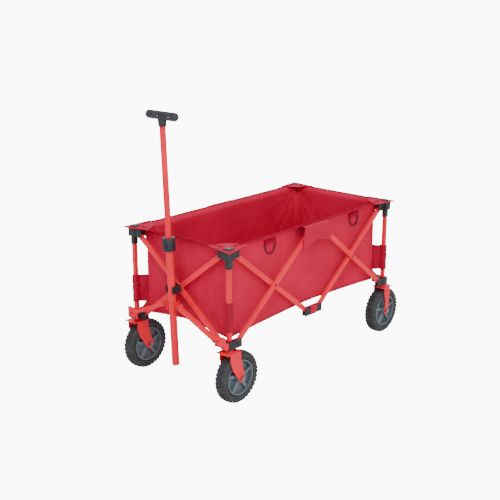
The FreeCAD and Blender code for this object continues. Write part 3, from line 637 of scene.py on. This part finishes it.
def hem_and_stitches(side):
    """The binding along a wall's top edge, and its two rows of stitches."""
    def edge(t):
        return on_wall(side, 0.012 + 0.976 * t, 1.0, HEM_SUNK)

    hem = tube_along(f"hem_{side}", edge, HEM_HALF, 110, 10, WEBBING)
    bm = bmesh.new()
    for level in STITCH_LEVELS:
        def row(t):
            return on_wall(side, 0.02 + 0.96 * t, level, STITCH_PROUD)

        stitch_row(bm, row, 2 * WALL_SHAPES[side][1])
    return hem, new_piece(f"stitches_{side}", bm, STITCH, smooth=False)


HEMS, SEAMS = {}, {}
for side in WALL_SHAPES:
    HEMS[side], SEAMS[side] = hem_and_stitches(side)
print("stitches", {name: len(piece.data.polygons) // 6 for name, piece in SEAMS.items()})

# %% [markdown]
# At each corner the hem is caught under a kite of doubled canvas on top of the plastic joint, and a
# black plate with a screw clamps it. The kite reaches along both hems, so it is a grid stretched
# between four tips, with a soft dip round the screw.

# %% Corner flaps and their screw plates
FLAP_REACH = 0.088
FLAP_OVERHANG = 0.029
FLAP_SET = 0.010
PLATE_HALF = 0.014
PLATE_SET = 0.004


def corner_frame(corner):
    """A corner's post axis, and its inward signs along X and Y."""
    axis = middle(f"post_{corner}")
    return axis, -math.copysign(1, axis.x), -math.copysign(1, axis.y)


def corner_flap(corner):
    axis, inward_x, inward_y = corner_frame(corner)
    top = corners(f"upper_joint_{corner}")[1].z
    side_x, end_x = axis.x + inward_x * FLAP_REACH, axis.x - inward_x * FLAP_SET
    side_y, end_y = axis.y - inward_y * FLAP_SET, axis.y + inward_y * FLAP_REACH
    tip_x, tip_y = axis.x - inward_x * FLAP_OVERHANG, axis.y - inward_y * FLAP_OVERHANG
    outer_tip = Vector((tip_x, tip_y, top + 0.0035))
    side_tip = Vector((side_x, side_y, top + 0.0074))
    end_tip = Vector((end_x, end_y, top + 0.0074))
    inner_tip = Vector((axis.x + inward_x * 0.052, axis.y + inward_y * 0.052, top + 0.0080))
    bm = bmesh.new()
    for vertex in grid_mesh(bm, 26, 26):
        s, t = shares(vertex)
        place = (outer_tip * (1 - s) * (1 - t) + side_tip * s * (1 - t)
                 + end_tip * (1 - s) * t + inner_tip * s * t)
        edge = 16 * s * (1 - s) * t * (1 - t)
        place.z += 0.0016 * edge + 0.0006 * math.sin(s * 17 + t * 5) * edge
        vertex.co = place
    bmesh.ops.recalc_face_normals(bm, faces=bm.faces)
    face_towards(bm, UP)
    flap = new_piece(f"corner_flap_{corner}", bm, FLAP_CANVAS_PAINTED_SHADE)
    thicken(flap, 0.0024)

    bm = bmesh.new()
    at = Vector((axis.x + inward_x * PLATE_SET, axis.y + inward_y * PLATE_SET, top + 0.0076))
    plate = add_box(bm, at, (2 * PLATE_HALF, 2 * PLATE_HALF, 0.0045))
    edges = [e for e in bm.edges if all(v in plate for v in e.verts)]
    soften_edges(bm, edges)
    plate_piece = new_piece(f"corner_plate_{corner}", bm, BLACK, smooth=False)
    bm = bmesh.new()
    head_at = at + UP * 0.0030
    add_disc(bm, head_at, 0.0052, 0.0022, top=0.72)
    for turn in (0, math.pi / 2):
        slot_turn = Matrix.Rotation(turn, 4, "Z")
        add_box(bm, head_at + UP * 0.0012, (0.0066, 0.0012, 0.0007), slot_turn)
    screw = new_piece(f"corner_screw_{corner}", bm, STEEL, smooth=False)
    return [flap, plate_piece, screw]


FLAPS = {corner: corner_flap(corner) for corner in ("fl", "fr", "rl", "rr")}

# %% [markdown]
# Over the joint in the middle of each side lies a cap of canvas: from the hem it folds down over
# the bars like a small tent. It widens by about a third on its way down, and its sides hang a
# little lower than its middle.

# %% Caps over the side's middle joints
CAP_HALF = 0.082
CAP_DROP = 0.058


def middle_cap(side, outward):
    joint_low, joint_high = corners(f"top_joint_{side}")
    face = (joint_low.y if outward < 0 else joint_high.y) + outward * 0.0022
    wall_face = outward * (half_y + LIP - 0.004)
    bm = bmesh.new()
    for vertex in grid_mesh(bm, 56, 30):
        u, v = vertex.co.x, (vertex.co.y + 1) / 2
        # From the hem (v = 0) over the joint's top edge and down its face (v = 1).
        over = smoothstep(v / 0.42)
        down = max(v - 0.38, 0.0) / 0.62
        spread = CAP_HALF * (0.76 + 0.24 * min(v * 1.35, 1.0) ** 0.8)
        drop = CAP_DROP * down
        peak = joint_high.z + 0.0028 + 0.001 * (1 - abs(u))
        along = u * spread
        slope = 0.022 * abs(u) ** 1.5 * smoothstep((v - 0.42) / 0.4)
        up = peak - drop - slope
        y = wall_face + (face - wall_face) * over
        y += outward * (0.0030 * (1 - u * u) * down + 0.0010 * math.sin(u * 9) * down)
        vertex.co = Vector((along, y, up))
    bmesh.ops.recalc_face_normals(bm, faces=bm.faces)
    face_towards(bm, Vector((0, outward, 1)))
    cap = new_piece(f"middle_cap_{side}", bm, FLAP_CANVAS_PAINTED_SHADE)
    thicken(cap, 0.0018)
    return cap


CAPS = {"left": middle_cap("left", -1), "right": middle_cap("right", 1)}

# %% [markdown]
# A sleeve of canvas is sewn round each post and joined to the bag's corner by a web. The sleeve is
# a rounded square tube, loose enough to slide when the wagon folds; the web is a narrow strip.

# %% Post sleeves and webs
SLEEVE_LOW, SLEEVE_HIGH = 0.270, 0.371
SLEEVE_HALF = 0.0108
WEB_START = 0.0086
WEB_END = 0.006


def squared(value, power):
    """Push a sine or cosine outwards, so that a circle becomes a rounded square."""
    return math.copysign(abs(value) ** power, value)


def post_sleeve(corner):
    axis, inward_x, inward_y = corner_frame(corner)
    bm = bmesh.new()
    for vertex in grid_mesh(bm, 40, 22):
        turn, t = (vertex.co.x + 1) * math.pi, (vertex.co.y + 1) / 2
        bend_x, bend_y = squared(math.cos(turn), 0.42), squared(math.sin(turn), 0.42)
        wave = 0.05 * math.sin(t * 19 + turn * 2) * math.sin(math.pi * t)
        ruck = 1 + wave + 0.05 * (abs(2 * t - 1) ** 8)
        half = SLEEVE_HALF * ruck
        height = SLEEVE_LOW + (SLEEVE_HIGH - SLEEVE_LOW) * t
        vertex.co = Vector((axis.x + half * bend_x, axis.y + half * bend_y, height))
    bmesh.ops.remove_doubles(bm, verts=bm.verts, dist=MERGE)
    bmesh.ops.recalc_face_normals(bm, faces=bm.faces)
    sleeve = new_piece(f"post_sleeve_{corner}", bm, SHADED_CANVAS)
    thicken(sleeve, 0.0012)

    bm = bmesh.new()
    start = Vector((axis.x + inward_x * WEB_START, axis.y + inward_y * WEB_START, 0))
    bag_x = math.copysign(half_x - WEB_END, axis.x)
    bag_y = math.copysign(half_y - WEB_END, axis.y)
    finish_at = Vector((bag_x, bag_y, 0))
    for vertex in grid_mesh(bm, 10, 20):
        s, t = shares(vertex)
        place = start.lerp(finish_at, s)
        lean = 0.0025 * math.sin(math.pi * s) * math.sin(t * 7)
        place += Vector((lean * inward_x, -lean * inward_y, 0))
        place.z = SLEEVE_LOW + (SLEEVE_HIGH - SLEEVE_LOW) * t + 0.004 * (t - 0.5) * s
        vertex.co = place
    web = new_piece(f"sleeve_web_{corner}", bm, SHADED_CANVAS)
    thicken(web, 0.0014, 0.0)
    return [sleeve, web]


SLEEVES = {corner: post_sleeve(corner) for corner in ("fl", "fr", "rl", "rr")}

# %% [markdown]
# Under the middle of each side a canvas tab wraps the lower joint and ties the bag down to it.

# %% Tabs on the lower middle joints
TAB_HALF = 0.019
TAB_PROUD = 0.0016


def lower_tab(side):
    low, high = corners(f"bottom_joint_{side}")
    bm = bmesh.new()
    centre = (low + high) / 2
    half = Vector((TAB_HALF, (high.y - low.y) / 2 + TAB_PROUD, (high.z - low.z) / 2 + TAB_PROUD))
    for vertex in grid_mesh(bm, 14, 48):
        u, turn = vertex.co.x, (vertex.co.y + 1) * math.pi
        bend_y, bend_z = squared(math.cos(turn), 0.3), squared(math.sin(turn), 0.3)
        swell = 1 + 0.02 * math.sin(u * 5 + turn * 3)
        vertex.co = centre + Vector((u * half.x, half.y * bend_y * swell, half.z * bend_z * swell))
    bmesh.ops.remove_doubles(bm, verts=bm.verts, dist=MERGE)
    bmesh.ops.recalc_face_normals(bm, faces=bm.faces)
    tab = new_piece(f"lower_tab_{side}", bm, FLAP_CANVAS_PAINTED_SHADE)
    thicken(tab, 0.0012)
    return tab


TABS = {side: lower_tab(side) for side in ("left", "right")}

# %% [markdown]
# The tyres are moulded rubber with blocky lugs: two shoulder rows that wrap onto the sidewall and a
# staggered row in the middle. The carcass is a profile spun about the axle, and each lug is a block
# with its outer corners drawn in.

# %% Treaded tyres
LUGS = 34
LUG_HEIGHT = 0.0046
LUG_TAPER = 0.78
SECTION_STEPS = 28
SPIN_STEPS = 96
LUG_FACE = 2.2e-5


def carcass(bm, centre, outer, inner, half_width):
    """Spin a rounded section about Y."""
    ring = []
    for i in range(SECTION_STEPS):
        turn = 2 * math.pi * i / SECTION_STEPS
        bulge, across = squared(math.cos(turn), 0.75), squared(math.sin(turn), 0.6)
        radius = (outer + inner) / 2 + (outer - inner) / 2 * bulge
        ring.append(bm.verts.new((radius, half_width * across, 0)))
    edges = [bm.edges.new((a, b)) for a, b in zip(ring, ring[1:] + ring[:1])]
    bmesh.ops.spin(
        bm, geom=ring + edges, cent=(0, 0, 0), axis=(0, 1, 0), angle=2 * math.pi,
        steps=SPIN_STEPS, use_merge=True)
    bmesh.ops.remove_doubles(bm, verts=bm.verts, dist=MERGE)
    bmesh.ops.translate(bm, vec=centre, verts=bm.verts)


def lug(bm, centre, angle, across, lean, size, radius):
    """One tread block at an angle round the tyre, tapered outwards."""
    made = bmesh.ops.create_cube(bm, size=1.0)["verts"]
    for vertex in made:
        shrink = LUG_TAPER if vertex.co.z > 0 else 1.0
        x, y, z = vertex.co
        vertex.co = Vector((x * size[0] * shrink, y * size[1] * shrink, z * size[2]))
    out = Matrix.Translation((0, across, radius)) @ Matrix.Rotation(lean, 4, "X")
    turn = Matrix.Translation(centre) @ Matrix.Rotation(angle, 4, "Y") @ out
    bmesh.ops.transform(bm, matrix=turn, verts=made)


def tyre(corner):
    low, high = corners(f"tyre_{corner}")
    centre = (low + high) / 2
    outer, half_width = (high.z - low.z) / 2, (high.y - low.y) / 2
    rim_low, rim_high = corners(f"rim_{corner}")
    rim = (rim_high.z - rim_low.z) / 2
    bm = bmesh.new()
    carcass(bm, centre, outer - LUG_HEIGHT + 0.0008, rim + 0.0002, half_width)
    pitch = 2 * math.pi / LUGS
    block = pitch * outer * 0.60
    shoulder = (block, 0.0125, LUG_HEIGHT * 1.7)
    cheek = (block * 0.8, 0.0085, LUG_HEIGHT)
    centre_block = (block * 0.85, 0.0135, LUG_HEIGHT)
    for i in range(LUGS):
        angle = i * pitch
        for way in (-1, 1):
            turned = angle + pitch / 4 * way
            lean, steep = -way * math.radians(38), -way * math.radians(72)
            lug(bm, centre, turned, way * 0.0150, lean, shoulder, outer - 0.0070)
            lug(bm, centre, turned, way * 0.0200, steep, cheek, outer - 0.0165)
        lug(bm, centre, angle + pitch / 2, 0.0, 0.0, centre_block, outer - LUG_HEIGHT / 2)
    piece = new_piece(f"treaded_tyre_{corner}", bm, RUBBER, smooth=False)
    for face in piece.data.polygons:
        face.use_smooth = face.area < LUG_FACE and face.index < SPIN_STEPS * SECTION_STEPS
    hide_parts(f"tyre_{corner}")
    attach(piece, f"wheel_{corner}")
    return piece


TYRES = [tyre(corner) for corner in ("fl", "fr", "rl", "rr")]
print("tyre faces", len(TYRES[0].data.polygons))

# %% [markdown]
# Two black wire rings hang in webbing tabs on each side. A ring is an open U of round wire whose
# legs end under the tab.

# %% Lashing rings and tabs
RING_FACE = corners("lashing_rings")[1].y
RING_X = 0.252
RING_SHIFT = 0.030
RING_RADIUS = 0.026
RING_TURN_Z = 0.512
RING_LEG = 0.014
WIRE_RADIUS = 0.0022


def ring(side, way):
    outward = -1 if side == "left" else 1
    end = "front" if way < 0 else "rear"
    y = outward * (RING_FACE - WIRE_RADIUS)
    centre_x = way * RING_X + RING_SHIFT
    leg_share = RING_LEG / (2 * RING_LEG + math.pi * RING_RADIUS)

    def path(t):
        """Down the front leg, round the bend and up the rear leg."""
        if t < leg_share:
            up = RING_LEG * (1 - t / leg_share)
            return Vector((centre_x - RING_RADIUS, y, RING_TURN_Z + up))
        if t > 1 - leg_share:
            up = RING_LEG * (t - 1 + leg_share) / leg_share
            return Vector((centre_x + RING_RADIUS, y, RING_TURN_Z + up))
        turn = math.pi * (t - leg_share) / (1 - 2 * leg_share)
        x = centre_x - RING_RADIUS * math.cos(turn)
        return Vector((x, y, RING_TURN_Z - RING_RADIUS * math.sin(turn)))

    radii = (WIRE_RADIUS, WIRE_RADIUS)
    wire = tube_along(f"ring_{side}_{end}", path, radii, 60, 12, WIRE, side=Vector((0, 1, 0)))
    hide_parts("lashing_rings")
    bm = bmesh.new()
    tab_at = Vector((centre_x, outward * (half_y + 0.0030), RING_TURN_Z + RING_LEG + 0.004))
    made = add_box(bm, tab_at, (2 * RING_RADIUS + 0.010, 0.0036, 0.014))
    soften_edges(bm, list({e for v in made for e in v.link_edges}))
    patch = new_piece(f"ring_tab_{side}_{end}", bm, WEBBING)
    return [wire, patch]


RINGS = {side: ring(side, -1) + ring(side, 1) for side in ("left", "right")}

# %% [markdown]
# Small fasteners make the frame read as riveted steel: screws in the plastic joints, rivets in the
# posts, at the crossings and along the pull arms, and two screws in the grip. Each is a shallow
# domed disc that rides on its part.

# %% Screws and rivets
HEAD_PROUD = 0.0005
HEAD_HEIGHT = 0.0018
SCREW, RIVET, STUD = 0.0030, 0.0032, 0.0042


def fasteners(name, body, places, finish=WIRE):
    """Domed heads at places: (point, outward direction, radius)."""
    bm = bmesh.new()
    for point, outward, radius in places:
        turn = Vector(outward).to_track_quat("Z", "Y").to_matrix().to_4x4()
        at = Vector(point) + Vector(outward) * HEAD_PROUD
        add_disc(bm, at, radius, HEAD_HEIGHT, turn, sides=18, top=0.62)
    piece = new_piece(name, bm, finish, smooth=False)
    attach(piece, body)
    return piece


def joint_screws(corner):
    """Screws in a corner's two plastic joints, and the rivet in its post."""
    axis, inward_x, inward_y = corner_frame(corner)
    low, high = corners(f"lower_joint_{corner}")
    face_y = low.y if inward_y > 0 else high.y
    face_x = low.x if inward_x > 0 else high.x
    mid_z = (low.z + high.z) / 2
    sideways = (0, -inward_y, 0)
    spots = [
        ((axis.x, face_y, mid_z + 0.004), sideways, SCREW),
        ((axis.x + inward_x * 0.029, face_y, mid_z), sideways, STUD),
    ]
    if corner in ("rl", "rr"):
        spots.append(((face_x, axis.y, mid_z), (-inward_x, 0, 0), SCREW))
    fasteners(f"lower_screws_{corner}", f"corner_{corner}", spots)
    low, high = corners(f"upper_joint_{corner}")
    up_y = low.y if inward_y > 0 else high.y
    screw = ((axis.x, up_y, high.z - 0.015), sideways, SCREW)
    fasteners(f"upper_screws_{corner}", f"top_corner_{corner}", [screw])
    rivet = ((axis.x, axis.y - inward_y * 0.0071, 0.384), sideways, 0.0026)
    fasteners(f"post_rivet_{corner}", f"corner_{corner}", [rivet])


for corner in ("fl", "fr", "rl", "rr"):
    joint_screws(corner)

# %% [markdown]
# The pull gear's rivets face forwards: two in each bracket, one at each arm's outer pin and one
# where an arm meets the yoke. Each side scissor has a rivet at its crossing, and the grip has two
# screws.

# %% Rivets of the pull gear and the crossings
ARM_PIN_Y, ARM_PIN_Z = 0.205, 0.243
YOKE_PIN_Y, YOKE_PIN_Z = 0.034, 0.319
BRACKET_FACE = 0.0168
GRIP_RADIUS = 0.0145
FORWARDS = (-1, 0, 0)


def pull_rivets(side, outward, corner):
    low, high = corners(f"arm_bracket_{side}")
    plate_y = (low.y + high.y) / 2
    spots = []
    for shift in (-0.014, 0.014):
        spots.append(((low.x + BRACKET_FACE, plate_y + shift, low.z + 0.009), FORWARDS, RIVET))
    spots.append(((low.x, outward * ARM_PIN_Y, ARM_PIN_Z), FORWARDS, STUD))
    fasteners(f"bracket_rivets_{side}", f"corner_{corner}", spots)
    arm_face = corners(f"pull_arm_{side}")[0].x
    stud = ((arm_face, outward * YOKE_PIN_Y, YOKE_PIN_Z), FORWARDS, STUD)
    fasteners(f"yoke_rivet_{side}", f"arm_{side}", [stud])


def crossing_rivet(side, outward, end):
    bar = f"{side}_bar_{end}_outer"
    low, high = corners(bar)
    head = ((low.x + high.x) / 2, low.y if outward < 0 else high.y, (low.z + high.z) / 2)
    fasteners(f"crossing_rivet_{side}_{end}", bar, [(head, (0, outward, 0), 0.0052)])


for side, outward, corner in (("left", -1, "fl"), ("right", 1, "fr")):
    pull_rivets(side, outward, corner)
for side, outward in (("left", -1), ("right", 1)):
    for end in ("front", "rear"):
        crossing_rivet(side, outward, end)
grip_low, grip_high = corners("handle_grip")
grip_z = grip_high.z - GRIP_RADIUS
screws = [((grip_low.x + 0.0006, y, grip_z), FORWARDS, 0.0034) for y in (0.004, -0.046)]
fasteners("grip_screws", "handle_slider", screws, STEEL)

# %% [markdown]
# When the wagon folds, the posts close in both directions and the top corners climb, and real cloth
# gathers in pleats between the posts. The bag hangs from the top corners, so its pieces ride on
# them:
# each piece rides on one body, keeps its shape and gets a mesh of its own.


def gather(piece, body, along):
    """Ride on a body, with a mesh of its own."""
    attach(piece, body)
    if along:
        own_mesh(piece)
    else:
        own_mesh(piece)


# %% [markdown]
# Each soft piece now rides on its body, and the model's bag is hidden. The walls' sizes come from
# the bag's box. The others are estimates that follow the shapes made above.

# %% Ride the bag on the frame
WALL_BODIES = {
    "left": ("top_corner_fl", True), "right": ("top_corner_fr", True),
    "front": ("top_corner_fl", False), "rear": ("top_corner_rl", False),
}
for side_name, (body, along) in WALL_BODIES.items():
    for piece in (WALLS[side_name], HEMS[side_name], SEAMS[side_name]):
        gather(piece, body, along)
    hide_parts("bag")
for panel, body in zip(FLOORS, PANEL_BODIES):
    gather(panel, body, False)
    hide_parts("bag")
for corner in ("fl", "fr", "rl", "rr"):
    for piece in FLAPS[corner] + SLEEVES[corner]:
        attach(piece, f"top_corner_{corner}")
for side_name in ("left", "right"):
    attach(CAPS[side_name], f"top_middle_{side_name}")
    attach(TABS[side_name], f"bottom_middle_{side_name}")
    for piece in RINGS[side_name]:
        gather(piece, WALL_BODIES[side_name][0], True)

# %% Update the scene
bpy.context.view_layer.update()
